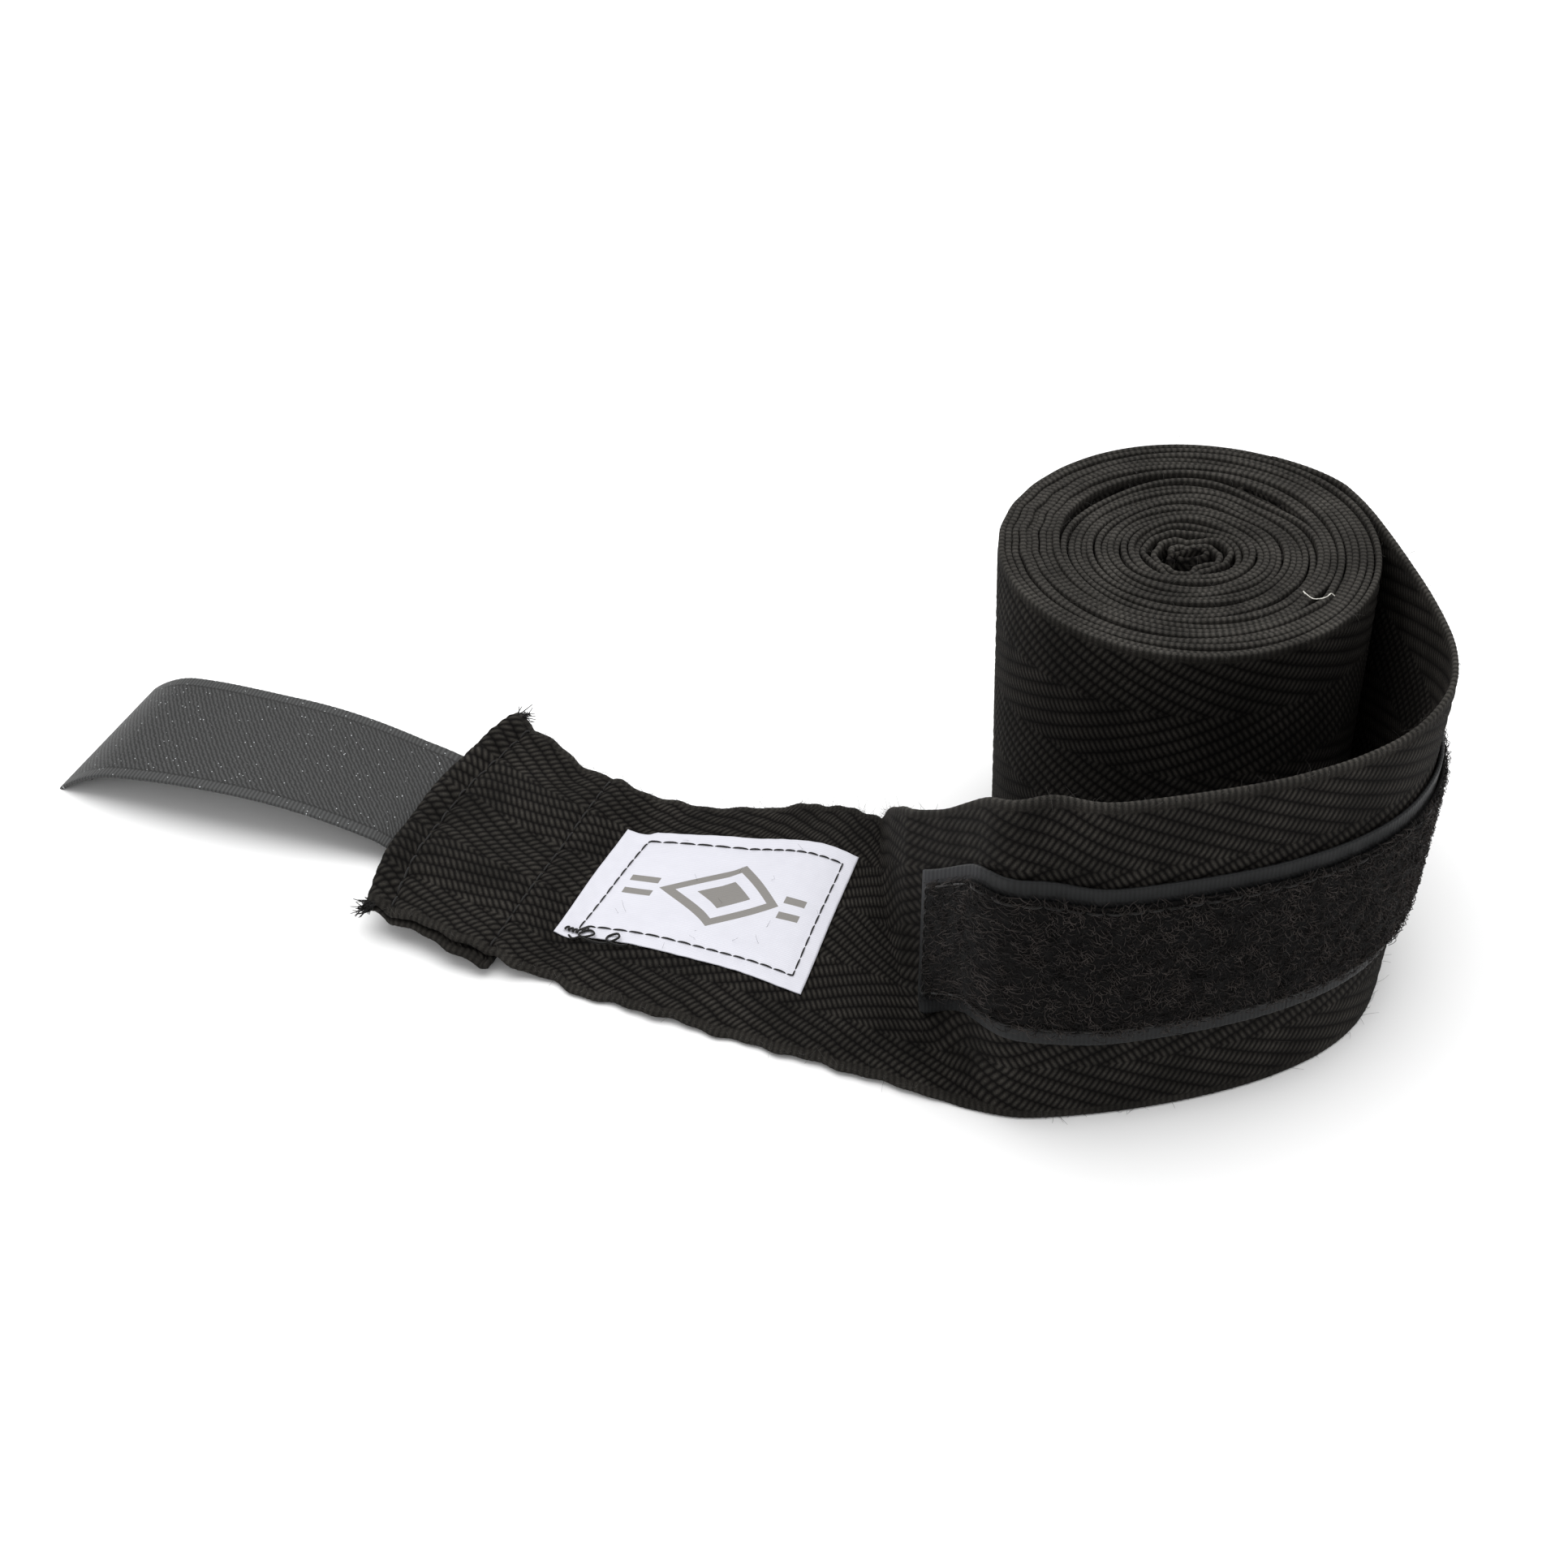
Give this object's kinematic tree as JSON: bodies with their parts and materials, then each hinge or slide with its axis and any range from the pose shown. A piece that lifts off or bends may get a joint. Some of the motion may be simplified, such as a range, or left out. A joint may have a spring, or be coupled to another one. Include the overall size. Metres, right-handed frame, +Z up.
{
  "type": "hand wrap",
  "caption": "Black cotton boxing hand wrap, rolled up on its edge, with its free end folded out to show the loop patch, the hem and the hook tab that fasten it.",
  "frame": {"origin": "centre of the ground rectangle that the whole object covers, on the surface that it stands on", "axes": "+Z up along the axis of the roll; +X from the laid hook tab towards the roll; +Y from the standing tape at the front towards the back of the roll"},
  "size_m": [0.198, 0.0951, 0.0501],
  "materials": {
    "cotton": "herringbone woven cotton tape, matt",
    "nylon_tape": "woven nylon ground of hook and loop tape",
    "nylon_pile": "brushed nylon loops",
    "nylon_hook": "stiff cut nylon hooks",
    "satin": "white satin label ribbon",
    "thread": "polyester sewing thread"
  },
  "bodies": {
    "roll": {"outer_turns": "cotton", "inner_turns": "cotton", "core_fold": "cotton", "thumb_loop": "cotton"},
    "tail_side": {"tape_side": "cotton", "loop_patch_side": "nylon_tape", "loop_pile_side": "nylon_pile", "patch_seam_side": "thread"},
    "tail_front": {"tape_front": "cotton", "loop_patch_front": "nylon_tape", "loop_pile_front": "nylon_pile", "patch_seam_front": "thread"},
    "tail_end": {"tape_end": "cotton", "hem_turning": "cotton", "hem_seam_outer": "thread", "hem_seam_inner": "thread", "hook_tab_root": "nylon_tape", "label": "satin", "label_seam": "thread", "label_tack": "thread"},
    "tab": {"hook_tab": "nylon_tape", "hook_field": "nylon_hook"}
  },
  "joints": [
    {"name": "tail_peel", "type": "hinge", "parent": "roll", "child": "tail_side", "pos_m": [0.0878, 0.03, 0], "axis": [0, 0, 1], "range_deg": [0, 60]},
    {"name": "tail_bend", "type": "hinge", "parent": "tail_side", "child": "tail_front", "pos_m": [0.0881, -0.02967, 0], "axis": [0, 0, 1], "range_deg": [-10, 75]},
    {"name": "end_lift", "type": "hinge", "parent": "tail_front", "child": "tail_end", "pos_m": [0.01093, -0.03485, 0.00058], "axis": [0.2416, 0.969, 0.0524], "range_deg": [0, 50]},
    {"name": "tab_fold", "type": "hinge", "parent": "tail_end", "child": "tab", "pos_m": [-0.04332, 0.01889, 0.00303], "axis": [0.3178, 0.9474, -0.0371], "range_deg": [0, 120]}
  ]
}
